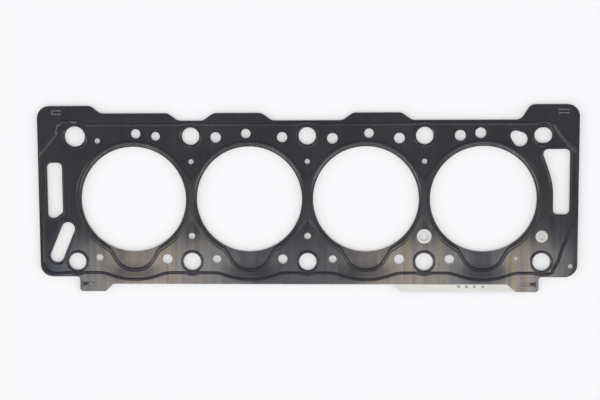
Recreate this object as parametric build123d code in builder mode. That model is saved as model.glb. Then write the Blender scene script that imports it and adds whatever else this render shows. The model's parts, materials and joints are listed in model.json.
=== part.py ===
from build123d import *

import os
from math import acos, atan2, cos, degrees, hypot, sin, sqrt

# Cylinder head gasket of a four-cylinder engine, in three layers of sheet steel.
# Two coated sheets, with the sealing beads pressed into them, lie on either side of a bare carrier
# sheet, and four clinch bridges hold the layers together.
# X runs along the row of cylinders, Y across the engine and Z up, from the engine block to the head.
# The origin is the middle of the head-bolt pattern, on the underside. All sizes are in millimetres.

# ---- Driving dimensions -------------------------------------------------------------------------

# Cylinders and head bolts
bore_opening_dia = 84.2
bore_web = 8.8  # sheet left between two neighbouring bores
bolt_row_spacing = 100.8
bolt_hole_dia = 13.8
dowel_hole_dia = 16.2
dowel_slot_length = 13.8
dowel_slot_height = 12.3

# Sheets
sheet_thickness = 0.25
carrier_thickness = 0.90

# Outline: distances past the bolt rows, and past the end bolts
left_margin = 30.3
right_margin = 28.4
recess_margin = 12.35
tab_margin = 18.35
corner_margin = 24.4
middle_recess = 28.0  # half length of the recess at the middle bolt
inner_recess = 9.95  # half length of the recess at the bolts beside it
ramp_run = 8.45
left_corner_start = 20.8
left_corner_run = 7.8
right_corner_start = 17.6
right_corner_run = 7.5
left_foot_side = 1.55
left_foot_end = 22.3
left_foot_run = 6.0
right_foot_side = 1.95
right_foot_end = 19.7
right_foot_run = 7.3
corner_round = 10.0
ramp_round = 7.0
foot_round = 2.4

# Thickness mark: a bare strip of the carrier, with a row of round holes
mark_strip_start = 24.5  # before the bolt right of the middle
mark_strip_bevel = 5.9
mark_hole_count = 4
mark_hole_pitch = 6.4
mark_hole_dia = 2.3
mark_hole_drop = 1.6  # from the coated edge to the holes' centres
mark_from_bolt = 37.1  # from the bolt right of the middle to the row's centre

# Openings beside the end bores
slot_corner = 3.7
left_slot_near = 11.1
left_slot_far = 23.1
left_slot_top = 29.4
left_slot_bottom = 15.1
left_slot_bevel_run = 6.0
left_slot_bevel_rise = 4.4
right_slot_near = 8.45
right_slot_far = 21.25
right_slot_top = 39.4
right_slot_bottom = 12.4
right_slot_bend = 12.0
right_slot_lean = 9.65
right_slot_bend_radius = 55.0
oblique_slot_width = 10.8
oblique_slot_upper = (-7.2, 26.5)  # from the lower bolt of the left end
oblique_slot_lower = (-16.5, 4.8)

# Small round holes: (bolt station, distance along the row, distance in from the bolt row, diameter)
upper_holes = [
    (-2, 18.0, 3.6, 4.3),
    (-2, 49.0, -2.0, 7.5),
    (-2, 64.9, 0.0, 7.0),
    (-1, 20.0, 1.0, 8.4),
    (-1, 44.1, -2.0, 7.5),
    (0, -20.0, 1.0, 8.2),
    (0, 20.0, 2.0, 8.5),
    (0, 49.0, -2.0, 7.5),
    (1, -20.0, 2.0, 8.5),
    (1, 28.0, -0.1, 8.6),
    (1, 44.0, -2.0, 8.5),
    (-1, 0.0, 20.4, 4.2),
    (0, 0.0, 20.4, 4.2),
    (1, 0.0, 20.4, 4.2),
]
lower_holes = [
    (-2, 18.0, 3.1, 5.5),
    (-1, -20.0, 1.9, 8.0),
    (-1, 20.0, 1.9, 6.4),
    (0, -20.0, 2.0, 7.5),
    (0, 20.0, 2.0, 6.2),
    (1, -20.0, 1.8, 8.0),
    (1, 20.0, 1.9, 7.5),
    (2, -20.1, 2.2, 3.5),
    (2, 22.8, -3.7, 3.7),
    (-1, 0.0, 20.6, 5.2),
    (0, 0.0, 20.6, 5.3),
]
# Holes with a smaller metering hole in the carrier: the same values, and the carrier's diameter
metered_holes = [
    (1, 0.0, 20.4, 11.6, 7.6),
    (2, 0.0, 20.2, 9.6, 4.8),
]
# Bean-shaped hole at the right end of the upper row: two circles and the tangents between them
bean_circles = [(2, -21.6, 0.3, 8.2), (2, -18.0, 3.1, 11.4)]

# Beads pressed into the coated sheets
bead_height = 0.25
bore_bead_slope = 1.2  # width of each sloping side
bore_bead_land = 1.3
bore_bead_width = 3.9
bore_bead_reach = 1.95  # from the ring to the vee between two bores
vee_round = 1.5
line_bead_width = 2.0
line_bead_round = 4.0  # at the corners of the perimeter line
bolt_bead_land = 0.5
bolt_bead_width = 1.55
slot_bead_land = 0.5
oblique_bead_land = 1.0
slot_bead_width = 1.4

# Pocket below each bore, which the bore bead runs round: sizes of the bead's middle line
pocket_depth = 15.1  # from the bore's edge to the floor
pocket_round = 16.0
pocket_floor_half = 10.2
pocket_side_run = 12.2  # the sides lean out by this run over their rise
pocket_side_rise = 20.4
pocket_bead_width = 3.0
shoulder_round = 8.0  # where the bead leaves the ring

# Perimeter line: distances past the bolt rows, and lengths along them from each bolt
upper_line = 9.4
lower_line = 9.2
bolt_arch = 10.8
bay_line = 14.6
arch_half = 9.0
dip_half = 6.5
bay_half = 25.5  # half lengths of the bay below each bore, at its top and at its floor
bay_floor_half = 10.0
bay_round = 25.0
bay_floor_round = 50.0
edge_land = 2.1  # from the end edges to the line
left_upper_line = [(8.0, 9.4), (3.0, 12.1), (-10.2, 12.1), (-13.5, 9.4), (-15.0, 2.6)]
left_side_line = [(0.0, 87.0), (0.0, -1.0), (2.9, -7.3), (8.6, -10.0)]
right_lower_line = [(-6.5, -9.2), (0.0, -10.8), (7.9, -9.8), (13.0, 0.2), (16.4, 11.4)]
right_side_line = [(0.0, 34.0), (0.0, 87.7)]
right_upper_line = [(17.0, -4.4), (12.0, 2.0), (8.0, 8.5), (2.0, 10.8), (-9.0, 9.4)]

# Clinch bridges: (bolt station, distance along the row, distance past the bolt row)
upper_clinches = [(-2, -14.8, 19.2), (2, 15.9, 18.9)]
lower_clinches = [(-2, 10.4, 18.2), (2, -11.1, 18.2)]
clinch_length = 8.4
clinch_width = 2.0
clinch_slit = 0.7
clinch_ramp = 2.0
clinch_rise = 0.5

# ---- Places worked out from them ----------------------------------------------------------------

bore_radius = bore_opening_dia / 2
cylinder_pitch = bore_opening_dia + bore_web
bolt_row = bolt_row_spacing / 2
left_end = -2 * cylinder_pitch
right_end = 2 * cylinder_pitch

lower_sheet_z = bead_height
carrier_z = lower_sheet_z + sheet_thickness
upper_sheet_z = carrier_z + carrier_thickness

left_edge = left_end - left_margin
right_edge = right_end + right_margin
recess_level = bolt_row + recess_margin
tab_level = bolt_row + tab_margin
corner_level = bolt_row + corner_margin

bore_places = [(station * cylinder_pitch, 0) for station in (-1.5, -0.5, 0.5, 1.5)]
upper_bolts = [(station * cylinder_pitch, bolt_row) for station in (-2, -1, 0, 1, 2)]
lower_bolts = [(station * cylinder_pitch, -bolt_row) for station in (-2, -1, 0, 1, 2)]
clinch_places = [
    *((station * cylinder_pitch + along, bolt_row + beyond) for station, along, beyond in upper_clinches),
    *((station * cylinder_pitch + along, -bolt_row - beyond) for station, along, beyond in lower_clinches),
]


def past(station, along):
    """X of a place that lies so far to the right of a bolt station."""
    return station * cylinder_pitch + along


# ---- Plans of the sheets ------------------------------------------------------------------------


def rounded_face(corners):
    """Fills the outline through corners given as (x, y, rounding radius)."""
    with BuildSketch() as face:
        with BuildLine():
            places = [(x, y) for x, y, _ in corners]
            FilletPolyline(*places, radius=[corner[2] for corner in corners], close=True)
        make_face()
    return face.sketch


def recess(station, half_length):
    """Corners of a recess in the upper edge at a bolt, from right to left."""
    return [
        (past(station, half_length + ramp_run), tab_level, ramp_round),
        (past(station, half_length), recess_level, ramp_round),
        (past(station, -half_length), recess_level, ramp_round),
        (past(station, -half_length - ramp_run), tab_level, ramp_round),
    ]


upper_edge = [
    (right_edge, corner_level, corner_round),
    (right_end - right_corner_start + right_corner_run, corner_level, ramp_round),
    (right_end - right_corner_start, recess_level, ramp_round),
    (past(1, -inner_recess), recess_level, ramp_round),
    (past(1, -inner_recess - ramp_run), tab_level, ramp_round),
    *recess(0, middle_recess),
    *recess(-1, inner_recess),
    (left_end + left_corner_start, tab_level, ramp_round),
    (left_end + left_corner_start - left_corner_run, corner_level, ramp_round),
    (left_edge, corner_level, corner_round),
]
left_foot = [
    (left_edge, -recess_level, corner_round),
    (left_end + left_foot_side, -recess_level, foot_round),
    (left_end + left_foot_side, -corner_level, foot_round),
    (left_end + left_foot_end, -corner_level, foot_round),
    (left_end + left_foot_end + left_foot_run, -tab_level, foot_round),
]
right_foot = [
    (right_end - right_foot_end - right_foot_run, -tab_level, 0),
    (right_end - right_foot_end, -corner_level, 0),
]
right_side = [
    (right_end - right_foot_side, -corner_level, foot_round),
    (right_end - right_foot_side, -recess_level, foot_round),
    (right_edge, -recess_level, corner_round),
]
mark_strip_edge = [
    (past(1, -mark_strip_start), -tab_level, 0),
    (past(1, -mark_strip_start + mark_strip_bevel), -corner_level, 0),
]

coated_outline = rounded_face(upper_edge + left_foot + right_foot + right_side)
carrier_outline = rounded_face(upper_edge + left_foot + mark_strip_edge + right_side)

left_slot = rounded_face(
    [
        (left_end - left_slot_near, left_slot_top, slot_corner),
        (left_end - left_slot_far, left_slot_top, slot_corner),
        (left_end - left_slot_far, -left_slot_bottom, slot_corner),
        (left_end - left_slot_near - left_slot_bevel_run, -left_slot_bottom, slot_corner),
        (left_end - left_slot_near, -left_slot_bottom + left_slot_bevel_rise, slot_corner),
    ]
)
right_slot = rounded_face(
    [
        (right_end + right_slot_near, -right_slot_bottom, slot_corner),
        (right_end + right_slot_far, -right_slot_bottom, slot_corner),
        (right_end + right_slot_far, right_slot_top, slot_corner),
        (right_end + right_slot_near - right_slot_lean, right_slot_top, slot_corner),
        (right_end + right_slot_near, right_slot_bend, right_slot_bend_radius),
    ]
)
oblique_run = Vector(oblique_slot_upper) - Vector(oblique_slot_lower)
oblique_middle = (Vector(oblique_slot_upper) + Vector(oblique_slot_lower)) / 2
with BuildSketch() as oblique_slot:
    with Locations(Vector(left_end, -bolt_row) + oblique_middle):
        oblique_angle = degrees(atan2(oblique_run.Y, oblique_run.X))
        SlotCenterToCenter(oblique_run.length, oblique_slot_width, rotation=oblique_angle)

with BuildSketch() as openings:
    with Locations(*bore_places):
        Circle(bore_radius)
    with Locations(*upper_bolts[1:4], *lower_bolts):
        Circle(bolt_hole_dia / 2)
    with Locations(upper_bolts[0]):
        Circle(dowel_hole_dia / 2)
    with Locations(upper_bolts[-1]):
        SlotOverall(dowel_slot_length, dowel_slot_height)
    for station, along, inward, diameter in upper_holes:
        with Locations((past(station, along), bolt_row - inward)):
            Circle(diameter / 2)
    for station, along, inward, diameter in lower_holes:
        with Locations((past(station, along), inward - bolt_row)):
            Circle(diameter / 2)
    add(left_slot)
    add(right_slot)
    add(oblique_slot.sketch)

with BuildSketch() as clinch_windows:
    with Locations(*clinch_places):
        Rectangle(clinch_length, clinch_width + 2 * clinch_slit)

with BuildSketch() as bean_hole:
    for station, along, inward, diameter in bean_circles:
        with Locations((past(station, along), bolt_row - inward)):
            Circle(diameter / 2)
    make_hull()

with BuildSketch() as coated_plan:
    add(coated_outline)
    add(openings.sketch, mode=Mode.SUBTRACT)
    add(bean_hole.sketch, mode=Mode.SUBTRACT)
    add(clinch_windows.sketch, mode=Mode.SUBTRACT)
    for station, along, inward, coated_diameter, _ in metered_holes:
        with Locations((past(station, along), inward - bolt_row)):
            Circle(coated_diameter / 2, mode=Mode.SUBTRACT)

with BuildSketch() as carrier_plan:
    add(carrier_outline)
    add(openings.sketch, mode=Mode.SUBTRACT)
    add(bean_hole.sketch, mode=Mode.SUBTRACT)
    add(clinch_windows.sketch, mode=Mode.SUBTRACT)
    for station, along, inward, _, metering_diameter in metered_holes:
        with Locations((past(station, along), inward - bolt_row)):
            Circle(metering_diameter / 2, mode=Mode.SUBTRACT)
    with Locations((past(1, mark_from_bolt), -tab_level - mark_hole_drop)):
        with GridLocations(mark_hole_pitch, 0, mark_hole_count, 1):
            Circle(mark_hole_dia / 2, mode=Mode.SUBTRACT)

# ---- Beads --------------------------------------------------------------------------------------


def line_bead(path, width):
    """A ridge along a flat path, standing on the XY plane, with two sloping sides."""
    start = Plane(path @ 0, x_dir=Vector(0, 0, 1).cross(path % 0), z_dir=path % 0)
    with BuildPart() as ridge:
        with BuildSketch(start):
            with BuildLine():
                Polyline((-width / 2, 0), (width / 2, 0), (0, bead_height), close=True)
            make_face()
        sweep(path=path)
    return ridge.part


def slot_bead(slot, land):
    """A bead all round a slot, a land away from its edge."""
    middle = offset(slot, amount=land + slot_bead_width / 2, mode=Mode.PRIVATE)
    return line_bead(middle.face().outer_wire(), slot_bead_width)


def bolt_bead(hole_radius):
    """A ring bead about the Z axis for a bolt hole."""
    inner = hole_radius + bolt_bead_land
    outer = inner + bolt_bead_width
    with BuildPart() as ring:
        with BuildSketch(Plane.XZ):
            with BuildLine():
                Polyline((inner, 0), (outer, 0), ((inner + outer) / 2, bead_height), close=True)
            make_face()
        revolve(axis=Axis.Z)
    return ring.part


# The beads of the four bores run together: a ring about each bore, with a vee where two rings meet.
bore_bead_inner = bore_radius + bore_bead_land
bore_bead_outer = bore_bead_inner + bore_bead_width
vee_height = sqrt((bore_bead_outer + bore_bead_reach) ** 2 - (cylinder_pitch / 2) ** 2)
vee_angle = atan2(vee_height, cylinder_pitch / 2)
tangent_angle = vee_angle + acos(bore_bead_outer / hypot(cylinder_pitch / 2, vee_height))
tangent_x = bore_bead_outer * cos(tangent_angle)
tangent_y = bore_bead_outer * sin(tangent_angle)
vee_degrees = degrees(tangent_angle)

with BuildSketch() as bore_bead_outline:
    with BuildLine():
        first, *middle_bores, last = bore_places
        CenterArc(first, bore_bead_outer, vee_degrees, 360 - 2 * vee_degrees)
        CenterArc(last, bore_bead_outer, 180 + vee_degrees, 360 - 2 * vee_degrees)
        for bore in middle_bores:
            CenterArc(bore, bore_bead_outer, vee_degrees, 180 - 2 * vee_degrees)
            CenterArc(bore, bore_bead_outer, 180 + vee_degrees, 180 - 2 * vee_degrees)
        for station in (-1, 0, 1):
            for side in (-1, 1):
                left_tangent = (past(station - 0.5, tangent_x), side * tangent_y)
                right_tangent = (past(station + 0.5, -tangent_x), side * tangent_y)
                Polyline(left_tangent, (past(station, 0), side * vee_height), right_tangent)
    make_face()
    fillet(bore_bead_outline.vertices().filter_by(lambda v: abs(abs(v.Y) - vee_height) < 0.01), vee_round)

# Below each bore the bead leaves the ring and runs round a pocket of level sheet.
# Its sides run on well inside the ring, to half the bore's radius below the middle.
pocket_floor = -bore_radius - pocket_depth
pocket_top = -bore_radius / 2
pocket_top_half = pocket_floor_half + (pocket_top - pocket_floor) * pocket_side_run / pocket_side_rise
pocket = [
    (-pocket_top_half, pocket_top),
    (-pocket_floor_half, pocket_floor),
    (pocket_floor_half, pocket_floor),
    (pocket_top_half, pocket_top),
]


def ring_and_pocket(ring_radius, growth):
    """A disc about a bore run together with its pocket, whose line is moved out by the growth."""
    with BuildSketch() as plan:
        with BuildLine():
            FilletPolyline(*pocket, radius=pocket_round)
            Line(pocket[-1], pocket[0])
        make_face()
        offset(amount=growth)
        Circle(ring_radius)
        corners = plan.vertices().filter_by(lambda v: v.Y < 0 and abs(hypot(v.X, v.Y) - ring_radius) < 0.01)
        fillet(corners, shoulder_round)
    return plan.sketch


with BuildSketch() as bore_bead_foot:
    add(bore_bead_outline.sketch)
    with Locations(*bore_places):
        add(ring_and_pocket(bore_bead_outer, pocket_bead_width / 2))

bore_bead_inside = ring_and_pocket(bore_bead_inner, -pocket_bead_width / 2)
bead_angle = degrees(atan2(bore_bead_slope, bead_height))
with BuildPart() as bore_beads:
    add(bore_bead_foot.sketch)
    extrude(amount=bead_height, taper=bead_angle)
    with BuildSketch():
        with Locations(*bore_places):
            add(bore_bead_inside)
    extrude(amount=bead_height, taper=-bead_angle, mode=Mode.SUBTRACT)


def end_corners(places):
    """Corners of the perimeter bead round an end of the gasket."""
    return [(x, y, line_bead_round) for x, y in places]


def arch(station):
    """Perimeter bead over an upper bolt hole, from right to left."""
    return [
        (past(station, arch_half), bolt_row + upper_line, line_bead_round),
        (past(station, 0), bolt_row + bolt_arch, line_bead_round),
        (past(station, -arch_half), bolt_row + upper_line, line_bead_round),
    ]


def bay(station):
    """Perimeter bead below one bore, from left to right."""
    return [
        (past(station, -bay_half), -bolt_row - lower_line, bay_round),
        (past(station, -bay_floor_half), -bolt_row - bay_line, bay_floor_round),
        (past(station, bay_floor_half), -bolt_row - bay_line, bay_floor_round),
        (past(station, bay_half), -bolt_row - lower_line, bay_round),
    ]


def dip(station):
    """Perimeter bead round the foot of a lower bolt hole, from left to right."""
    return [
        (past(station, -dip_half), -bolt_row - lower_line, line_bead_round),
        (past(station, 0), -bolt_row - bolt_arch, line_bead_round),
        (past(station, dip_half), -bolt_row - lower_line, line_bead_round),
    ]


perimeter = [
    *arch(1),
    *arch(0),
    *arch(-1),
    *end_corners((left_end + along, bolt_row + beyond) for along, beyond in left_upper_line),
    *end_corners((left_edge + edge_land + inward, rise - bolt_row) for inward, rise in left_side_line),
    *dip(-2),
    *bay(-1.5),
    *dip(-1),
    *bay(-0.5),
    *dip(0),
    *bay(0.5),
    *dip(1),
    *bay(1.5),
    *end_corners((right_end + along, rise - bolt_row) for along, rise in right_lower_line),
    *end_corners((right_edge - edge_land - inward, rise - bolt_row) for inward, rise in right_side_line),
    *end_corners((right_end + along, bolt_row + beyond) for along, beyond in right_upper_line),
]
with BuildLine() as perimeter_path:
    perimeter_places = [(x, y) for x, y, _ in perimeter]
    FilletPolyline(*perimeter_places, radius=[corner[2] for corner in perimeter], close=True)

bolt_ring = bolt_bead(bolt_hole_dia / 2)
dowel_ring = bolt_bead(dowel_hole_dia / 2)
beads = [
    bore_beads.part,
    line_bead(perimeter_path.wire(), line_bead_width),
    *(bolt_ring.moved(Location(place)) for place in upper_bolts[1:] + lower_bolts),
    dowel_ring.moved(Location(upper_bolts[0])),
    slot_bead(left_slot, slot_bead_land),
    slot_bead(right_slot, slot_bead_land),
    slot_bead(oblique_slot.sketch, oblique_bead_land),
]

# ---- Clinch bridges -----------------------------------------------------------------------------


def clinch_bridge(z, thickness):
    """A strip of sheet pressed upward between two slits, with a ramp at each end."""
    half = clinch_length / 2
    flat = half - clinch_ramp
    with BuildPart() as bridge:
        with BuildSketch(Plane.XZ):
            with BuildLine():
                Polyline(
                    (-half, z),
                    (-flat, z + clinch_rise),
                    (flat, z + clinch_rise),
                    (half, z),
                    (half, z + thickness),
                    (flat, z + thickness + clinch_rise),
                    (-flat, z + thickness + clinch_rise),
                    (-half, z + thickness),
                    close=True,
                )
            make_face()
        extrude(amount=clinch_width / 2, both=True)
    return bridge.part


# ---- Layers -------------------------------------------------------------------------------------


def clinched(sheet, z, thickness):
    """The sheet with its clinch bridges, each in its window."""
    bridge = clinch_bridge(z, thickness)
    with BuildPart() as layer:
        add(sheet)
        add([bridge.moved(Location(place)) for place in clinch_places])
    return layer.part


with BuildPart() as carrier_sheet:
    with BuildSketch(Plane.XY.offset(carrier_z)):
        add(carrier_plan.sketch)
    extrude(amount=carrier_thickness)

# A coated sheet lying on the XY plane: each bead stands out of its upper face and is hollow below.
with BuildPart() as coated_sheet:
    add(coated_plan.sketch)
    extrude(amount=sheet_thickness)
    add([bead.moved(Location((0, 0, sheet_thickness))) for bead in beads])
    add(beads, mode=Mode.SUBTRACT)

# The lower sheet is the same pressing turned over.
upper_sheet = coated_sheet.part.moved(Location((0, 0, upper_sheet_z)))
lower_sheet = mirror(coated_sheet.part, about=Plane.XY).moved(Location((0, 0, carrier_z)))

layers = {
    "lower_layer": clinched(lower_sheet, lower_sheet_z, sheet_thickness),
    "carrier_layer": clinched(carrier_sheet.part, carrier_z, carrier_thickness),
    "upper_layer": clinched(upper_sheet, upper_sheet_z, sheet_thickness),
}

# ---- Files --------------------------------------------------------------------------------------

os.makedirs("parts", exist_ok=True)
for name, layer in layers.items():
    layer.label = name
    export_step(layer, f"parts/{name}.step")
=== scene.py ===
"""Cylinder head gasket on a pale floor: finishes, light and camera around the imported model."""

import json
from math import acos, atan2, ceil, cos, hypot, pi, radians, sin, sqrt, tan

import bpy
import numpy as np
from mathutils import Matrix, Vector
from mathutils.geometry import delaunay_2d_cdt


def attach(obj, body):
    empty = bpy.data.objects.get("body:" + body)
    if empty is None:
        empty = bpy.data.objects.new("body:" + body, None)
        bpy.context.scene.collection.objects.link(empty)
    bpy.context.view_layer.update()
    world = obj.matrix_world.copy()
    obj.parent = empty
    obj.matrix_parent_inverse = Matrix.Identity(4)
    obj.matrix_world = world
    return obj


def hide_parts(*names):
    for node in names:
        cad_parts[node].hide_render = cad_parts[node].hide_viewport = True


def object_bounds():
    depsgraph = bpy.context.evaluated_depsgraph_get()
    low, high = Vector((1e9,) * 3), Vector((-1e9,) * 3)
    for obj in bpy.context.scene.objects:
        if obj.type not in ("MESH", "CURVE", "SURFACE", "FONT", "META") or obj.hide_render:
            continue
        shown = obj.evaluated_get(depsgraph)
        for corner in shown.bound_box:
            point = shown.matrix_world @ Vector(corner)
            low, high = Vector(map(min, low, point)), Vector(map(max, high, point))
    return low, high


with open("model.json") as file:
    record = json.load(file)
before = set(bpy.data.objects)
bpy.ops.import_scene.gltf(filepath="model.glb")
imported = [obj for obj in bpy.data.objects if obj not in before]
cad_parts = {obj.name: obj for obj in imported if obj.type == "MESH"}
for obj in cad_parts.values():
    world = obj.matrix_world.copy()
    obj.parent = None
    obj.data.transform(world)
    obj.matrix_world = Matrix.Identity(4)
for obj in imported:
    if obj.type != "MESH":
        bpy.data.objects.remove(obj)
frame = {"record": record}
cad_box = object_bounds()

MM = 0.001

# ---- Sizes of the gasket, in millimetres --------------------------------------------------------

mounts = {mount["name"]: mount for mount in frame["record"]["mounts"]}
bolt_dims = mounts["head_bolts_inner"]["dims"]
cylinder_pitch = bolt_dims["spacing_x_mm"] / 2
bolt_row = bolt_dims["spacing_y_mm"] / 2
bolt_radius = bolt_dims["hole_r_mm"]
bore_radius = mounts["cylinder_bore_1"]["dims"]["r_mm"]
dowel_radius = mounts["dowel_hole"]["dims"]["r_mm"]
left_end = -2 * cylinder_pitch
right_end = 2 * cylinder_pitch
left_edge = cad_box[0].x / MM
right_edge = cad_box[1].x / MM
corner_level = cad_box[1].y / MM

bead_height = 0.25  # on the sheet's face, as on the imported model
sheet_thickness = 0.25
carrier_thickness = 0.90
carrier_z = bead_height + sheet_thickness
upper_sheet_z = carrier_z + carrier_thickness

# Outline
recess_level = bolt_row + 12.35
tab_level = bolt_row + 18.35
ramp_run = 8.45
corner_round = 10.0
ramp_round = 7.0
foot_round = 2.4
left_corner = (13.0, 20.8)  # start and end of the ramp, from the left end bolts
right_corner = (-10.1, -17.6)
middle_recess = 28.0
inner_recess = 9.95
left_foot = (1.55, 22.3, 28.3)
right_foot = (-1.95, -19.7, -27.0)
strip_start = (-24.5, -18.6)  # bare strip of the carrier, from the bolt right of the middle

# Thickness mark in the strip
mark_middle = 37.1
mark_pitch = 6.4
mark_count = 4
mark_radius = 1.15
mark_drop = 1.6

# Openings beside the end bores
slot_corner = 3.7
left_slot = [(-11.1, 29.4), (-23.1, 29.4), (-23.1, -15.1), (-17.1, -15.1), (-11.1, -10.7)]
right_slot = [(8.45, -12.4), (21.25, -12.4), (21.25, 39.4), (-1.2, 39.4), (8.45, 12.0)]
right_slot_bend = 55.0
oblique_slot = [(-7.2, 26.5), (-16.5, 4.8)]  # from the lower bolt of the left end
oblique_slot_width = 10.8
dowel_slot = (13.8, 12.3)

# Round holes: (bolt station, distance along the row, distance in from the bolt row, diameter)
upper_holes = [
    (-2, 18.0, 3.6, 4.3),
    (-2, 49.0, -2.0, 7.5),
    (-2, 64.9, 0.0, 7.0),
    (-1, 20.0, 1.0, 8.4),
    (-1, 44.1, -2.0, 7.5),
    (0, -20.0, 1.0, 8.2),
    (0, 20.0, 2.0, 8.5),
    (0, 49.0, -2.0, 7.5),
    (1, -20.0, 2.0, 8.5),
    (1, 28.0, -0.1, 8.6),
    (1, 44.0, -2.0, 8.5),
    (-1, 0.0, 20.4, 4.2),
    (0, 0.0, 20.4, 4.2),
    (1, 0.0, 20.4, 4.2),
]
lower_holes = [
    (-2, 18.0, 3.1, 5.5),
    (-1, -20.0, 1.9, 8.0),
    (-1, 20.0, 1.9, 6.4),
    (0, -20.0, 2.0, 7.5),
    (0, 20.0, 2.0, 6.2),
    (1, -20.0, 1.8, 8.0),
    (1, 20.0, 1.9, 7.5),
    (2, -20.1, 2.2, 3.5),
    (2, 22.8, -3.7, 3.7),
    (-1, 0.0, 20.6, 5.2),
    (0, 0.0, 20.6, 5.3),
]
# The same values, and the diameter of the metering hole in the carrier
metered_holes = [(1, 0.0, 20.4, 11.6, 7.6), (2, 0.0, 20.2, 9.6, 4.8)]
bean_circles = [(2, -21.6, 0.3, 8.2), (2, -18.0, 3.1, 11.4)]

# Bead round the bores
bore_bead_inner = bore_radius + 1.3
bore_bead_outer = bore_bead_inner + 3.9
bore_bead_slope = 1.2
bore_bead_reach = 1.95  # from the ring to the vee between two bores
vee_round = 0.8
pocket_depth = 15.1  # from the bore's edge to the floor of the pocket below it
pocket_round = 16.0
pocket_corners = [(22.4, 20.4), (10.2, 0.0)]  # from the bore's middle, and up from the floor
pocket_half = 1.5
shoulder_blend = 1.3

# Beads round the bolt holes and the slots
ring_half = 0.9
ring_land = 0.5
slot_bead_half = 0.7
slot_bead_land = 0.5
oblique_bead_land = 1.0

# Perimeter line: distances past the bolt rows, and lengths along them
line_half = 1.2
line_round = 4.0
upper_line = 9.4
lower_line = 9.2
bolt_arch = 10.8
bay_line = 14.6
arch_half = 9.0
dip_half = 6.5
bay_half = 25.5  # half lengths of the bay below each bore, at its top and at its floor
bay_floor_half = 10.0
bay_round = 25.0
bay_floor_round = 50.0
edge_land = 2.1  # from the end edges to the line
left_upper_line = [(8.0, 9.4), (3.0, 12.1), (-10.2, 12.1), (-13.5, 9.4), (-15.0, 2.6)]
left_side_line = [(0.0, 87.0), (0.0, -1.0), (2.9, -7.3), (8.6, -10.0)]
right_lower_line = [(-6.5, -9.2), (0.0, -10.8), (7.9, -9.8), (13.0, 0.2), (16.4, 11.4)]
right_side_line = [(0.0, 34.0), (0.0, 87.7)]
right_upper_line = [(17.0, -4.4), (12.0, 2.0), (8.0, 8.5), (2.0, 10.8), (-9.0, 9.4)]

# Clinch bridges: (bolt station, distance along the row, height from the middle of the gasket)
clinches = [
    (-2, -14.8, bolt_row + 19.2),
    (2, 15.9, bolt_row + 18.9),
    (-2, 10.4, -bolt_row - 18.2),
    (2, -11.1, -bolt_row - 18.2),
]
clinch_half = 4.2
clinch_half_width = 1.0
clinch_slit = 0.7
clinch_ramp = 2.0
clinch_rise = 0.5

# ---- Lines in the plan --------------------------------------------------------------------------

arc_step = radians(5.0)
ring_step = radians(2.0)
line_step = 3.0
pocket_step = 1.2
vee_step = 1.6
clinch_step = 0.35
circle_points = 40  # at least
circle_density = 4.2  # points for each millimetre of radius
bean_steps = 24
bore_places = [(station * cylinder_pitch, 0.0) for station in (-1.5, -0.5, 0.5, 1.5)]
stations = (-2, -1, 0, 1, 2)


def past(station, along):
    """X of a place that lies so far to the right of a bolt station."""
    return station * cylinder_pitch + along


def circle(x, y, radius):
    """Points round a circle, closer together in degrees on a large one."""
    count = max(circle_points, ceil(circle_density * radius))
    angles = [2 * pi * k / count for k in range(count)]
    return [(x + radius * cos(a), y + radius * sin(a)) for a in angles]


def rounded(corners, closed=True):
    """Points of a line through corners given as (x, y, rounding radius)."""
    points = []
    for i, (x, y, radius) in enumerate(corners):
        corner = Vector((x, y))
        if radius == 0 or (not closed and i in (0, len(corners) - 1)):
            points.append(corner)
            continue
        back = (Vector(corners[i - 1][:2]) - corner).normalized()
        ahead = (Vector(corners[(i + 1) % len(corners)][:2]) - corner).normalized()
        turn = pi - back.angle(ahead)
        centre = corner + (back + ahead).normalized() * (radius / cos(turn / 2))
        spoke = corner + back * (radius * tan(turn / 2)) - centre
        sense = 1 if ahead.cross(back) > 0 else -1
        steps = max(2, ceil(turn / arc_step))
        for k in range(steps + 1):
            angle = sense * turn * k / steps
            points.append(centre + Matrix.Rotation(angle, 2) @ spoke)
    return [tuple(point) for point in points]


def divided(points, closed=True, longest=line_step):
    """The same line with its long runs divided."""
    result = []
    ends = zip(points, points[1:] + points[:1]) if closed else zip(points, points[1:])
    for (x0, y0), (x1, y1) in ends:
        steps = max(1, ceil(hypot(x1 - x0, y1 - y0) / longest))
        for k in range(steps):
            result.append((x0 + (x1 - x0) * k / steps, y0 + (y1 - y0) * k / steps))
    return result if closed else result + [points[-1]]


def beside(points, distance, closed=True):
    """The line moved sideways to its left."""
    line = np.array(points)
    step_on = np.roll(line, -1, 0) - line
    if not closed:
        step_on[-1] = step_on[-2]
    step_on /= np.linalg.norm(step_on, axis=1)[:, None]
    step_in = np.roll(step_on, 1, 0)
    if not closed:
        step_in[0] = step_on[0]
    middle = step_on + step_in
    middle /= np.linalg.norm(middle, axis=1)[:, None]
    stretch = 1 / np.maximum((middle * step_on).sum(1), 0.5)
    return line + np.column_stack((-middle[:, 1], middle[:, 0])) * (distance * stretch)[:, None]


def recess(station, half_length):
    """Corners of a recess in the upper edge, from right to left."""
    return [
        (past(station, half_length + ramp_run), tab_level, ramp_round),
        (past(station, half_length), recess_level, ramp_round),
        (past(station, -half_length), recess_level, ramp_round),
        (past(station, -half_length - ramp_run), tab_level, ramp_round),
    ]


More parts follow.
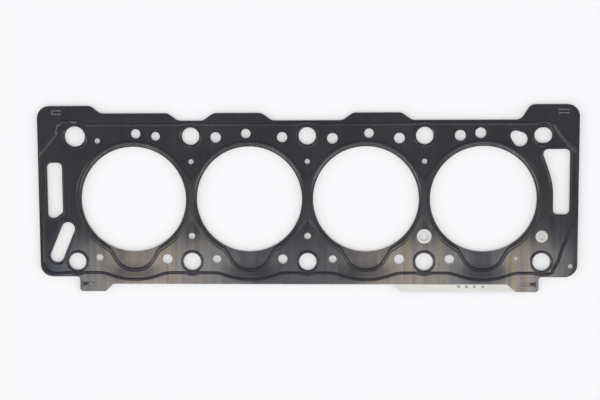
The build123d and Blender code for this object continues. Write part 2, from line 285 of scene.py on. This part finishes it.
def outline(lower_right):
    """The sheet's outline, with its own points where the lower edge differs."""
    return rounded([
        (right_edge, corner_level, corner_round),
        (right_end + right_corner[0], corner_level, ramp_round),
        (right_end + right_corner[1], recess_level, ramp_round),
        (past(1, -inner_recess), recess_level, ramp_round),
        (past(1, -inner_recess - ramp_run), tab_level, ramp_round),
        *recess(0, middle_recess),
        *recess(-1, inner_recess),
        (left_end + left_corner[1], tab_level, ramp_round),
        (left_end + left_corner[0], corner_level, ramp_round),
        (left_edge, corner_level, corner_round),
        (left_edge, -recess_level, corner_round),
        (left_end + left_foot[0], -recess_level, foot_round),
        (left_end + left_foot[0], -corner_level, foot_round),
        (left_end + left_foot[1], -corner_level, foot_round),
        (left_end + left_foot[2], -tab_level, foot_round),
        *lower_right,
        (right_end + right_foot[0], -corner_level, foot_round),
        (right_end + right_foot[0], -recess_level, foot_round),
        (right_edge, -recess_level, corner_round),
    ])


coated_outline = outline([
    (right_end + right_foot[2], -tab_level, 0),
    (right_end + right_foot[1], -corner_level, 0),
])
carrier_outline = outline([
    (past(1, strip_start[0]), -tab_level, 0),
    (past(1, strip_start[1]), -corner_level, 0),
])


def stadium(ends, radius):
    """A slot with half-round ends about two points."""
    (x0, y0), (x1, y1) = ends
    heading = atan2(y1 - y0, x1 - x0)
    steps = ceil(pi / arc_step)
    first = [heading + pi / 2 + pi * k / steps for k in range(steps + 1)]
    points = [(x0 + radius * cos(a), y0 + radius * sin(a)) for a in first]
    return points + [(x1 - radius * cos(a), y1 - radius * sin(a)) for a in first]


def bean():
    """Two circles and the tangents between them."""
    (x0, y0, r0), (x1, y1, r1) = [
        (past(station, along), bolt_row - inward, size / 2)
        for station, along, inward, size in bean_circles
    ]
    heading = atan2(y1 - y0, x1 - x0)
    lean = acos((r0 - r1) / hypot(x1 - x0, y1 - y0))
    shares = [k / bean_steps for k in range(bean_steps + 1)]
    small = [heading + lean + (2 * pi - 2 * lean) * share for share in shares]
    large = [heading - lean + 2 * lean * share for share in shares]
    points = [(x0 + r0 * cos(a), y0 + r0 * sin(a)) for a in small]
    return points + [(x1 + r1 * cos(a), y1 + r1 * sin(a)) for a in large]


left_slot_line = rounded([(left_end + x, y, slot_corner) for x, y in left_slot])
right_slot_line = rounded(
    [(right_end + x, y, slot_corner) for x, y in right_slot[:-1]]
    + [(right_end + right_slot[-1][0], right_slot[-1][1], right_slot_bend)]
)
oblique_slot_line = stadium(
    [(left_end + x, y - bolt_row) for x, y in oblique_slot],
    oblique_slot_width / 2,
)
dowel_slot_reach = (dowel_slot[0] - dowel_slot[1]) / 2
dowel_slot_line = stadium(
    [(right_end - dowel_slot_reach, bolt_row), (right_end + dowel_slot_reach, bolt_row)],
    dowel_slot[1] / 2,
)
slots = [
    (left_slot_line, slot_bead_land),
    (right_slot_line, slot_bead_land),
    (oblique_slot_line, oblique_bead_land),
]
bolt_places = [(past(s, 0), bolt_row) for s in stations[1:4]]
bolt_places += [(past(s, 0), -bolt_row) for s in stations]


def clinch_slits(x, y):
    """The two slits beside a clinch bridge."""
    slits = []
    left = x - clinch_half
    right = x + clinch_half
    for side in (-1, 1):
        near = y + side * clinch_half_width
        far = y + side * (clinch_half_width + clinch_slit)
        box = [(left, near), (right, near), (right, far), (left, far)]
        slits.append(divided(box, longest=clinch_step))
    return slits


def upper_circle(station, along, inward, size):
    """A round hole, placed from the upper bolt row."""
    return circle(past(station, along), bolt_row - inward, size / 2)


def lower_circle(station, along, inward, size):
    """A round hole, placed from the lower bolt row."""
    return circle(past(station, along), inward - bolt_row, size / 2)


openings = [
    *(circle(x, y, bore_radius) for x, y in bore_places),
    *(circle(x, y, bolt_radius) for x, y in bolt_places),
    circle(left_end, bolt_row, dowel_radius),
    dowel_slot_line,
    bean(),
    *(upper_circle(*hole) for hole in upper_holes),
    *(lower_circle(*hole) for hole in lower_holes),
    *(line for line, _ in slots),
    *(slit for s, along, y in clinches for slit in clinch_slits(past(s, along), y)),
]
coated_openings = openings + [lower_circle(*hole[:4]) for hole in metered_holes]
mark_start = mark_middle - mark_pitch * (mark_count - 1) / 2
carrier_openings = openings + [
    *(lower_circle(*hole[:3], hole[4]) for hole in metered_holes),
    *(
        circle(past(1, mark_start + mark_pitch * k), -tab_level - mark_drop, mark_radius)
        for k in range(mark_count)
    ),
]

# ---- Bead lines ---------------------------------------------------------------------------------


def bore_bead_line():
    """Outer foot of the bore beads: a ring about each bore, with a vee between two rings."""
    vee_height = sqrt((bore_bead_outer + bore_bead_reach) ** 2 - (cylinder_pitch / 2) ** 2)
    tangent = atan2(vee_height, cylinder_pitch / 2)
    tangent += acos(bore_bead_outer / hypot(cylinder_pitch / 2, vee_height))

    def arc(place, start, end):
        steps = ceil(abs(end - start) / ring_step)
        angles = [start + (end - start) * k / steps for k in range(steps + 1)]
        return [(place[0] + bore_bead_outer * cos(a), bore_bead_outer * sin(a), 0) for a in angles]

    first, *middle, last = bore_places
    corners = arc(first, tangent, 2 * pi - tangent)
    for place in middle:
        corners.append((place[0] - cylinder_pitch / 2, -vee_height, vee_round))
        corners += arc(place, pi + tangent, 2 * pi - tangent)
    corners.append((last[0] - cylinder_pitch / 2, -vee_height, vee_round))
    corners += arc(last, pi + tangent, 3 * pi - tangent)
    for place in reversed(middle):
        corners.append((place[0] + cylinder_pitch / 2, vee_height, vee_round))
        corners += arc(place, tangent, pi - tangent)
    corners.append((first[0] + cylinder_pitch / 2, vee_height, vee_round))
    return rounded(corners)


def line_corners(places):
    """Corners of the perimeter line round an end of the gasket."""
    return [(x, y, line_round) for x, y in places]


def perimeter_line():
    """Bead line all round the gasket, inside its edge."""
    left_line = left_edge + edge_land
    right_line = right_edge - edge_land
    corners = []
    for station in (1, 0, -1):
        corners += [
            (past(station, arch_half), bolt_row + upper_line, line_round),
            (past(station, 0), bolt_row + bolt_arch, line_round),
            (past(station, -arch_half), bolt_row + upper_line, line_round),
        ]
    corners += line_corners((left_end + x, bolt_row + y) for x, y in left_upper_line)
    corners += line_corners((left_line + x, y - bolt_row) for x, y in left_side_line)
    for station in stations[:-1]:
        corners += [
            (past(station, -dip_half), -bolt_row - lower_line, line_round),
            (past(station, 0), -bolt_row - bolt_arch, line_round),
            (past(station, dip_half), -bolt_row - lower_line, line_round),
            (past(station + 0.5, -bay_half), -bolt_row - lower_line, bay_round),
            (past(station + 0.5, -bay_floor_half), -bolt_row - bay_line, bay_floor_round),
            (past(station + 0.5, bay_floor_half), -bolt_row - bay_line, bay_floor_round),
            (past(station + 0.5, bay_half), -bolt_row - lower_line, bay_round),
        ]
    corners += line_corners((right_end + x, y - bolt_row) for x, y in right_lower_line)
    corners += line_corners((right_line - x, y - bolt_row) for x, y in right_side_line)
    corners += line_corners((right_end + x, bolt_row + y) for x, y in right_upper_line)
    return divided(rounded(corners))


def pocket_line(x):
    """Middle line of the bead where it leaves the ring and runs round the pocket below a bore."""
    floor = -bore_radius - pocket_depth
    left = [(x - along, floor + rise, pocket_round) for along, rise in pocket_corners]
    right = [(x + along, floor + rise, pocket_round) for along, rise in reversed(pocket_corners)]
    return divided(rounded(left + right, closed=False), closed=False, longest=pocket_step)


# (points, half width) of each closed bead line
bead_lines = [
    (perimeter_line(), line_half),
    *((circle(x, y, bolt_radius + ring_land + ring_half), ring_half) for x, y in bolt_places),
    (circle(right_end, bolt_row, bolt_radius + ring_land + ring_half), ring_half),
    (circle(left_end, bolt_row, dowel_radius + ring_land + ring_half), ring_half),
    *(
        (divided([tuple(point) for point in beside(line, -land - slot_bead_half)]), slot_bead_half)
        for line, land in slots
    ),
]
bore_line = bore_bead_line()

# ---- Meshes of the sheets -----------------------------------------------------------------------

# Rows of vertices, as shares of a bead's half width and of a slope's width
line_rows = [-1.2, *(k / 5 for k in range(-5, 6)), 1.2]
slope_rows = [-0.2, *(k / 5 for k in range(6)), 1.2]
clinch_rows = (-0.5, 0.0, 0.5)
bore_clearance = 0.1  # between the edge of a bore and the nearest row
merging_gap = 0.004
sharp_angle = radians(40)


def guide_points():
    """Places along the beads where the pressed sheets need vertices."""
    rows = []
    for points, half in bead_lines:
        rows += [beside(points, t * half) for t in line_rows]
    for x, _ in bore_places:
        rows += [beside(pocket_line(x), t * pocket_half, closed=False) for t in line_rows]
    outer = divided(bore_line, longest=vee_step)
    rows += [beside(outer, t * bore_bead_slope) for t in slope_rows]
    for x, y in bore_places:
        rows += [np.array(circle(x, y, bore_bead_inner + t * bore_bead_slope)) for t in slope_rows]
    reach = round(clinch_half / clinch_step)
    for s, along, y in clinches:
        x = past(s, along)
        places = [x + k * clinch_step for k in range(-reach, reach + 1)]
        rows += [np.array([(place, y + t) for place in places]) for t in clinch_rows]
    points = np.vstack(rows)
    for x, y in bore_places:
        off = np.hypot(points[:, 0] - x, points[:, 1] - y)
        points = points[off > bore_radius + bore_clearance]
    return points


def inside(points, loop):
    """Which points lie inside a closed line."""
    x, y = points.T
    found = np.zeros(len(points), bool)
    for (x0, y0), (x1, y1) in zip(loop, loop[1:] + loop[:1]):
        if y0 != y1:
            crosses = ((y0 > y) != (y1 > y)) & (x < x0 + (y - y0) * (x1 - x0) / (y1 - y0))
            found ^= crosses
    return found


def distances(points, line, closed, reach):
    """Distance from each point to a line, where it is within reach."""
    result = np.full(len(points), np.inf)
    ends = line[1:] + line[:1] if closed else line[1:]
    for a, b in zip(np.array(line), np.array(ends)):
        low = np.minimum(a, b) - reach
        high = np.maximum(a, b) + reach
        near = np.nonzero(((points >= low) & (points <= high)).all(1))[0]
        run = b - a
        share = np.clip((points[near] - a) @ run / (run @ run), 0, 1)
        gap = np.linalg.norm(points[near] - a - share[:, None] * run, axis=1)
        result[near] = np.minimum(result[near], gap)
    return result


def eased(share):
    """Goes from 0 to 1 with a level start and end, as a pressed sheet bends."""
    share = np.clip(share, 0, 1)
    return share * share * (3 - 2 * share)


def depth_inside(points, loop, closed=True):
    """How far each point lies inside a loop, and as a negative depth outside it, up to a reach."""
    reach = 4 * shoulder_blend
    gap = np.minimum(distances(points, loop, closed, reach), reach)
    return np.where(inside(points, loop), gap, -gap)


def merged(first, second):
    """Depth inside either of two regions, rounded where their outlines meet."""
    near = np.maximum(shoulder_blend - np.abs(first - second), 0)
    return np.maximum(first, second) + near * near / (4 * shoulder_blend)


def bore_bead(points):
    """Depth of each point inside the outer foot of the bore beads, and inside their inner foot."""
    outer = depth_inside(points, bore_line)
    inner = np.full(len(points), -np.inf)
    for x, y in bore_places:
        line = pocket_line(x)
        outer_rim = [tuple(point) for point in beside(line, -pocket_half, closed=False)]
        inner_rim = [tuple(point) for point in beside(line, pocket_half, closed=False)]
        outer = merged(outer, depth_inside(points, outer_rim, closed=False))
        ring = bore_bead_inner - np.hypot(points[:, 0] - x, points[:, 1] - y)
        inner = np.maximum(inner, merged(ring, depth_inside(points, inner_rim, closed=False)))
    return outer, inner


def bead_rise(points, outer, inner):
    """Height of the beads at each point, as a share of the full height."""
    rise = eased(np.minimum(outer, -inner) / bore_bead_slope)
    for line, half in bead_lines:
        rise = np.maximum(rise, eased(1 - distances(points, line, True, half) / half))
    return rise


def clinch_lift(points):
    """Height of the clinch bridges at each point, in millimetres."""
    lift = np.zeros(len(points))
    for s, along, y in clinches:
        off = np.abs(points - (past(s, along), y))
        on_bridge = off[:, 1] < clinch_half_width + clinch_slit / 2
        lift += on_bridge * clinch_rise * eased((clinch_half - off[:, 0]) / clinch_ramp)
    return lift


def triangles(boundary, holes, guides):
    """Points and triangles of a flat region with holes."""
    points, edges, owner = [], [], []
    for number, loop in enumerate([boundary, *holes]):
        first = len(points)
        points += loop
        owner += [number] * len(loop)
        edges += [(first + k, first + (k + 1) % len(loop)) for k in range(len(loop))]
    points += [tuple(point) for point in guides]
    owner += [-1] * len(guides)
    flat = [Vector(point) for point in points]
    made, _, faces, origins, _, _ = delaunay_2d_cdt(flat, edges, [], 0, merging_gap)
    made = np.array([tuple(point) for point in made])
    made_owner = np.array([owner[found[0]] if found else -1 for found in origins])
    faces = np.array(faces)
    loops = made_owner[faces]
    middles = made[faces].mean(1)
    keep = np.ones(len(faces), bool)
    for number, loop in enumerate([boundary, *holes]):
        mine = np.nonzero((loops == number).all(1))[0]
        within = inside(middles[mine], loop)
        keep[mine[~within if number == 0 else within]] = False
    return made, faces[keep]


def sheet_mesh(name, boundary, holes, guides, base, thickness, bead):
    """A sheet over a plan: its upper and lower faces, and the walls of its edges."""
    plan, faces = triangles(boundary, holes, guides)
    shift = clinch_lift(plan)
    outer, inner = bore_bead(plan)
    if bead:
        shift = shift + bead * bead_rise(plan, outer, inner)
    count = len(plan)
    under = np.column_stack((plan, base + shift))
    over = np.column_stack((plan, base + shift + thickness))
    sides = np.vstack((faces[:, [0, 1]], faces[:, [1, 2]], faces[:, [2, 0]]))
    known = {(int(a), int(b)) for a, b in sides}
    rim = [(a, b) for a, b in known if (b, a) not in known]
    walls = [(a, a + count, b + count, b) for a, b in sorted(rim)]
    mesh = bpy.data.meshes.new(name)
    upper = (faces + count).tolist()
    lower = faces[:, ::-1].tolist()
    mesh.from_pydata((np.vstack((under, over)) * MM).tolist(), [], upper + lower + walls)
    mesh.polygons.foreach_set("use_smooth", [True] * len(mesh.polygons))
    cut = [0] * (len(upper) + len(lower)) + [1] * len(walls)
    mesh.polygons.foreach_set("material_index", cut)
    mesh.set_sharp_from_angle(angle=sharp_angle)
    land = mesh.attributes.new("inner_land", "FLOAT", "POINT")
    land.data.foreach_set("value", np.tile((outer > 0).astype(np.float32), 2))
    mesh.update()
    piece = bpy.data.objects.new(name, mesh)
    bpy.context.scene.collection.objects.link(piece)
    return piece


# ---- Camera -------------------------------------------------------------------------------------

camera_place = Vector((33.3, 96.8, 953.6)) * MM
camera_right = Vector((0.99916, -0.00505, -0.04070))
camera_up = Vector((0.00087, 0.99479, -0.10196))
camera_lens = 72.0
camera_sensor = 36.0


def place_at(thing, place, right, up):
    """Stands a camera or a lamp at a place, looking away from its back."""
    turn = Matrix((right, up, right.cross(up))).transposed().to_4x4()
    thing.matrix_world = Matrix.Translation(place) @ turn
    bpy.context.scene.collection.objects.link(thing)


def add_camera():
    """The photograph's camera: nearly straight above, a little beyond the upper edge."""
    data = bpy.data.cameras.new("camera")
    data.lens = camera_lens
    data.sensor_width = camera_sensor
    camera = bpy.data.objects.new("camera", data)
    place_at(camera, camera_place, camera_right, camera_up)
    bpy.context.scene.camera = camera


# ---- Shader nodes -------------------------------------------------------------------------------


def math_node(tree, operation, *values):
    """A sum on sockets and plain numbers."""
    node = tree.nodes.new("ShaderNodeMath")
    node.operation = operation
    for socket, value in zip(node.inputs, values):
        if isinstance(value, float):
            socket.default_value = value
        else:
            tree.links.new(value, socket)
    return node.outputs["Value"]


def coordinates(tree, kind):
    """X, Y and Z of the shaded place."""
    where = tree.nodes.new("ShaderNodeTexCoord")
    split = tree.nodes.new("ShaderNodeSeparateXYZ")
    tree.links.new(where.outputs[kind], split.inputs["Vector"])
    return split.outputs


def to_range(tree, value, low, high, start=0.3, end=0.7):
    """Goes from low to high as the value goes from start to end, by default as a noise does."""
    node = tree.nodes.new("ShaderNodeMapRange")
    node.inputs["From Min"].default_value = start
    node.inputs["From Max"].default_value = end
    node.inputs["To Min"].default_value = low
    node.inputs["To Max"].default_value = high
    tree.links.new(value, node.inputs["Value"])
    return node.outputs["Result"]


def noise(tree, stretch, scale, detail=3.0, roughness=0.5):
    """Noise over the object, drawn out by a factor along each axis."""
    where = tree.nodes.new("ShaderNodeTexCoord")
    mapping = tree.nodes.new("ShaderNodeMapping")
    mapping.inputs["Scale"].default_value = stretch
    tree.links.new(where.outputs["Object"], mapping.inputs["Vector"])
    node = tree.nodes.new("ShaderNodeTexNoise")
    node.inputs["Scale"].default_value = scale
    node.inputs["Detail"].default_value = detail
    node.inputs["Roughness"].default_value = roughness
    tree.links.new(mapping.outputs["Vector"], node.inputs["Vector"])
    return node.outputs["Fac"]


def blend(tree, factor, first, second, kind="RGBA"):
    """A mix of two colours or levels, each of them a plain value or a socket."""
    node = tree.nodes.new("ShaderNodeMix")
    node.data_type = kind
    for name, value in (("A", first), ("B", second)):
        if isinstance(value, (float, tuple)):
            node.inputs[name].default_value = value
        else:
            tree.links.new(value, node.inputs[name])
    tree.links.new(factor, node.inputs["Factor"])
    return node.outputs["Result"]


def bump(tree, height, distance, normal=None):
    """A relief of so many metres, on top of another where there is one."""
    node = tree.nodes.new("ShaderNodeBump")
    node.inputs["Strength"].default_value = 1.0
    node.inputs["Distance"].default_value = distance
    tree.links.new(height, node.inputs["Height"])
    if normal is not None:
        tree.links.new(normal, node.inputs["Normal"])
    return node.outputs["Normal"]


def new_material(name):
    """A material, its nodes and its shader."""
    material = bpy.data.materials.new(name)
    material.use_nodes = True
    return material, material.node_tree, material.node_tree.nodes["Principled BSDF"]


# ---- Light --------------------------------------------------------------------------------------

# Soft boxes: name, place and size in metres, radiance, colour
soft_boxes = [
    ("front_left_box", (-0.33, -0.29, 1.2), (0.36, 0.18), 5.0, (1.0, 0.98, 0.94)),
    ("front_middle_box", (-0.05, -0.29, 1.2), (0.18, 0.18), 2.2, (1.0, 0.98, 0.96)),
    ("front_right_box", (0.24, -0.29, 1.2), (0.38, 0.18), 5.0, (1.0, 0.98, 0.94)),
    ("left_box", (-1.05, 0.15, 1.05), (0.35, 0.35), 3.5, (0.97, 0.98, 1.0)),
    ("right_box", (0.95, 0.45, 1.0), (0.35, 0.35), 3.0, (0.97, 0.98, 1.0)),
]

# Light tent round the gasket, and the backdrop that the camera sees
tent_color = (0.975, 0.98, 1.0, 1.0)
tent_overhead = 0.42
tent_behind = 0.2  # share of the overhead light that is left behind the gasket
tent_dimming = (0.06, 0.2)  # Y of the direction where that sets in and where it is full
tent_sides = 2.5
tent_even = 0.35  # share of the sides' light that is the same all round
tent_ends = 1.3  # share that is added toward the two ends
tent_falloff = 3.0
backdrop_color = (1.0, 1.0, 1.0, 1.0)
backdrop_level = 0.95

floor_half = 3.0
floor_drop = 0.02
floor_color = (0.94, 0.94, 0.945, 1.0)
floor_roughness = 0.9


def add_soft_box(name, place, size, radiance, color):
    """A soft box turned to the middle of the gasket."""
    data = bpy.data.lights.new(name, "AREA")
    data.shape = "RECTANGLE"
    data.size, data.size_y = size
    data.energy = radiance * pi * size[0] * size[1]
    data.color = color
    lamp = bpy.data.objects.new(name, data)
    back = Vector(place).normalized()
    right = Vector((0, 1, 0)).cross(back).normalized()
    place_at(lamp, Vector(place), right, back.cross(right))


def add_world():
    """A light tent, dim overhead, darker behind and bright low down at its two ends.

    The camera sees a white backdrop.
    """
    world = bpy.data.worlds.new("studio")
    bpy.context.scene.world = world
    world.use_nodes = True
    tree = world.node_tree
    tree.nodes.clear()
    toward = coordinates(tree, "Generated")
    upward = math_node(tree, "MULTIPLY", toward["Z"], toward["Z"])
    lowness = math_node(tree, "POWER", math_node(tree, "SUBTRACT", 1.0, upward), tent_falloff)
    sideways = math_node(tree, "MULTIPLY", toward["X"], toward["X"])
    ends = math_node(tree, "MULTIPLY_ADD", sideways, tent_ends, tent_even)
    spread = math_node(tree, "MULTIPLY", lowness, ends)
    behind = tent_behind * tent_overhead
    overhead = to_range(tree, toward["Y"], tent_overhead, behind, *tent_dimming)
    level = math_node(tree, "MULTIPLY_ADD", spread, tent_sides, overhead)
    light = tree.nodes.new("ShaderNodeBackground")
    light.inputs["Color"].default_value = tent_color
    tree.links.new(level, light.inputs["Strength"])
    seen = tree.nodes.new("ShaderNodeBackground")
    seen.inputs["Color"].default_value = backdrop_color
    seen.inputs["Strength"].default_value = backdrop_level
    path = tree.nodes.new("ShaderNodeLightPath")
    mix = tree.nodes.new("ShaderNodeMixShader")
    output = tree.nodes.new("ShaderNodeOutputWorld")
    tree.links.new(path.outputs["Is Camera Ray"], mix.inputs["Fac"])
    tree.links.new(light.outputs["Background"], mix.inputs[1])
    tree.links.new(seen.outputs["Background"], mix.inputs[2])
    tree.links.new(mix.outputs["Shader"], output.inputs["Surface"])


def add_floor():
    """A plain pale floor just under the crests of the lower sheet."""
    mesh = bpy.data.meshes.new("floor")
    near, far = -floor_half, floor_half
    corners = [(near, near, 0), (far, near, 0), (far, far, 0), (near, far, 0)]
    mesh.from_pydata(corners, [], [(0, 1, 2, 3)])
    floor = bpy.data.objects.new("floor", mesh)
    floor.location.z = -floor_drop * MM
    bpy.context.scene.collection.objects.link(floor)
    material, _, shader = new_material("floor_paper")
    shader.inputs["Base Color"].default_value = floor_color
    shader.inputs["Roughness"].default_value = floor_roughness
    shader.inputs["Specular IOR Level"].default_value = 0.0
    mesh.materials.append(material)


# ---- Finishes -----------------------------------------------------------------------------------

# Tones of the coat, and of the thin film that tints its sheen; the tint turns cool where the
# painted sheen is weak and warm where it is strong
coat_dark = (0.021, 0.022, 0.029, 1.0)
coat_light = (0.030, 0.030, 0.038, 1.0)
film_cool = (0.86, 0.91, 1.0, 1.0)  # where the sheen is weak
film_yellow = (1.0, 0.92, 0.55, 1.0)
film_sand = (0.98, 0.88, 0.76, 1.0)
film_pink = (0.95, 0.78, 0.85, 1.0)
film_spread = (0.35, 0.65)  # of the noise that goes from yellow to pink

# Painted reflection along the lower side: the coat's sheen raised and lowered in patches, as (x in
# millimetres, specular level)
painted_sheen_patches = [
    (-205.0, 0.25),
    (-165.0, 0.55),
    (-125.0, 0.75),
    (-95.0, 0.56),
    (-45.0, 0.40),
    (0.0, 0.40),
    (40.0, 0.58),
    (66.0, 0.70),
    (108.0, 0.58),
    (138.0, 0.25),
    (168.0, 0.70),
    (205.0, 0.45),
]
plain_sheen = 0.5  # everywhere else
# Painted reflection streaks: the sheen is raised and lowered along streaks drawn out along Y
streak_gain = (0.65, 1.3)
warm_sheen = (0.35, 0.65)  # levels where the film goes from cool to warm
# Painted shade: the sheen is taken down by this share in the bays below the bores
dulling = -0.6  # in the bays below the bores

# Bands of the painted sheen and painted shade on the lower side in metres, from where each sets in
# to where it is full
lower_band = (-0.018, -0.032)
bay_band = (0.018, 0.034)  # along the row, from the nearest bolt
above_edge_band = (-0.068, -0.062)
below_pocket_band = (-0.050, -0.057)

coat_roughness = (0.08, 0.12)
land_roughness = 0.17  # of the ring of sheet inside the bore bead
steel_dark = (0.56, 0.55, 0.535, 1.0)
steel_light = (0.64, 0.63, 0.615, 1.0)
steel_roughness = (0.34, 0.46)

# Noises: stretch along each axis, scale, detail, roughness
coat_clouds = ((1, 1, 1), 30.0)
coat_streaks = ((1, 0.04, 1), 400.0, 4.0, 0.6)
film_streaks = ((1, 0.04, 1), 420.0, 3.0, 0.6)
coat_waves = ((1, 0.4, 1), 60.0, 2.0)
coat_grain = ((1, 1, 1), 2500.0, 2.0)
steel_grain = ((0.03, 1, 1), 900.0, 4.0, 0.6)

# Depths of their relief in metres
coat_wave_depth = 0.00006
coat_grain_depth = 0.000001
steel_grain_depth = 0.000004


def painted_sheen(tree, place):
    """Painted reflection: sheen of the coat even on the upper side, and raised and lowered in
    patches along the lower side.
    """
    along = to_range(tree, place["X"], 0.0, 1.0, left_edge * MM, right_edge * MM)
    patches = tree.nodes.new("ShaderNodeValToRGB")
    patches.color_ramp.interpolation = "EASE"
    stops = patches.color_ramp.elements
    stops.remove(stops[1])
    for number, (x, sheen) in enumerate(painted_sheen_patches):
        share = (x - left_edge) / (right_edge - left_edge)
        stop = stops.new(share) if number else stops[0]
        stop.position = share
        stop.color = (sheen, sheen, sheen, 1.0)
    tree.links.new(along, patches.inputs["Fac"])
    lower_side = to_range(tree, place["Y"], 0.0, 1.0, *lower_band)
    return blend(tree, lower_side, plain_sheen, patches.outputs["Color"], "FLOAT")


def painted_bay_shade(tree, place):
    """Painted shade: a factor that dulls the sheen between each pocket and the line below it."""
    from_bolt = math_node(tree, "PINGPONG", place["X"], cylinder_pitch / 2 * MM)
    below_bore = to_range(tree, from_bolt, 0.0, 1.0, *bay_band)
    above_edge = to_range(tree, place["Y"], 0.0, 1.0, *above_edge_band)
    below_pocket = to_range(tree, place["Y"], 0.0, 1.0, *below_pocket_band)
    band = math_node(tree, "MULTIPLY", above_edge, below_pocket)
    dull = math_node(tree, "MULTIPLY", below_bore, band)
    return math_node(tree, "MULTIPLY_ADD", dull, dulling, 1.0)


def film_tint(tree, sheen):
    """Tint of the painted sheen: cool where it is weak, and in warm streaks of painted reflection
    where it is strong.
    """
    film = tree.nodes.new("ShaderNodeValToRGB")
    film.color_ramp.elements[0].color = film_yellow
    film.color_ramp.elements[1].color = film_pink
    film.color_ramp.elements.new(0.5).color = film_sand
    streaks = to_range(tree, noise(tree, *film_streaks), 0.0, 1.0, *film_spread)
    tree.links.new(streaks, film.inputs["Fac"])
    warmth = to_range(tree, sheen, 0.0, 1.0, *warm_sheen)
    return blend(tree, warmth, film_cool, film.outputs["Color"])


def coating():
    """Black elastomer coat on the pressed sheets, with painted reflection (sheen raised and
    lowered in patches along the lower side and in streaks all over) and painted shade in the bays
    below the bores.
    """
    material, tree, shader = new_material("black_coating")
    place = coordinates(tree, "Object")
    clouds = to_range(tree, noise(tree, *coat_clouds), 0.0, 1.0)
    tree.links.new(blend(tree, clouds, coat_dark, coat_light), shader.inputs["Base Color"])
    # Painted reflection: sheen of the coat in patches along the lower side
    sheen = painted_sheen(tree, place)
    streaks = noise(tree, *coat_streaks)
    streaked = math_node(tree, "MULTIPLY", sheen, to_range(tree, streaks, *streak_gain))
    # Painted shade in the bays below the bores
    level = math_node(tree, "MULTIPLY", streaked, painted_bay_shade(tree, place))
    tree.links.new(level, shader.inputs["Specular IOR Level"])
    # Painted reflection: the film tint follows the painted sheen
    tree.links.new(film_tint(tree, sheen), shader.inputs["Specular Tint"])
    land = tree.nodes.new("ShaderNodeAttribute")
    land.attribute_name = "inner_land"
    coat = to_range(tree, streaks, *coat_roughness)
    roughness = blend(tree, land.outputs["Fac"], coat, land_roughness, "FLOAT")
    tree.links.new(roughness, shader.inputs["Roughness"])
    waves = bump(tree, noise(tree, *coat_waves), coat_wave_depth)
    grain = bump(tree, noise(tree, *coat_grain), coat_grain_depth, waves)
    tree.links.new(grain, shader.inputs["Normal"])
    return material


def rolled_steel():
    """Bare cold-rolled steel of the carrier, brushed along the row of cylinders."""
    material, tree, shader = new_material("rolled_steel")
    shader.inputs["Metallic"].default_value = 1.0
    grain = noise(tree, *steel_grain)
    tone = blend(tree, to_range(tree, grain, 0.0, 1.0), steel_dark, steel_light)
    tree.links.new(tone, shader.inputs["Base Color"])
    tree.links.new(to_range(tree, grain, *steel_roughness), shader.inputs["Roughness"])
    tree.links.new(bump(tree, grain, steel_grain_depth), shader.inputs["Normal"])
    return material


# ---- Scene --------------------------------------------------------------------------------------

bpy.context.scene.view_settings.view_transform = "Standard"
add_camera()
add_world()
for soft_box in soft_boxes:
    add_soft_box(*soft_box)
add_floor()

# Each layer's outline, openings and guide points, its base, its thickness and its beads' height
guides = guide_points()
sheets = {
    "upper_layer": (
        coated_outline, coated_openings, guides, upper_sheet_z, sheet_thickness, bead_height,
    ),
    "lower_layer": (
        coated_outline, coated_openings, guides, bead_height, sheet_thickness, -bead_height,
    ),
    "carrier_layer": (
        carrier_outline, carrier_openings, guides[:0], carrier_z, carrier_thickness, 0,
    ),
}
black = coating()
steel = rolled_steel()
for node, plan in sheets.items():
    bare = node == "carrier_layer"
    piece = sheet_mesh(node.replace("layer", "sheet"), *plan)
    piece.data.materials.append(steel if bare else black)
    piece.data.materials.append(steel)
    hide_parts(node)
    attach(piece, "root")
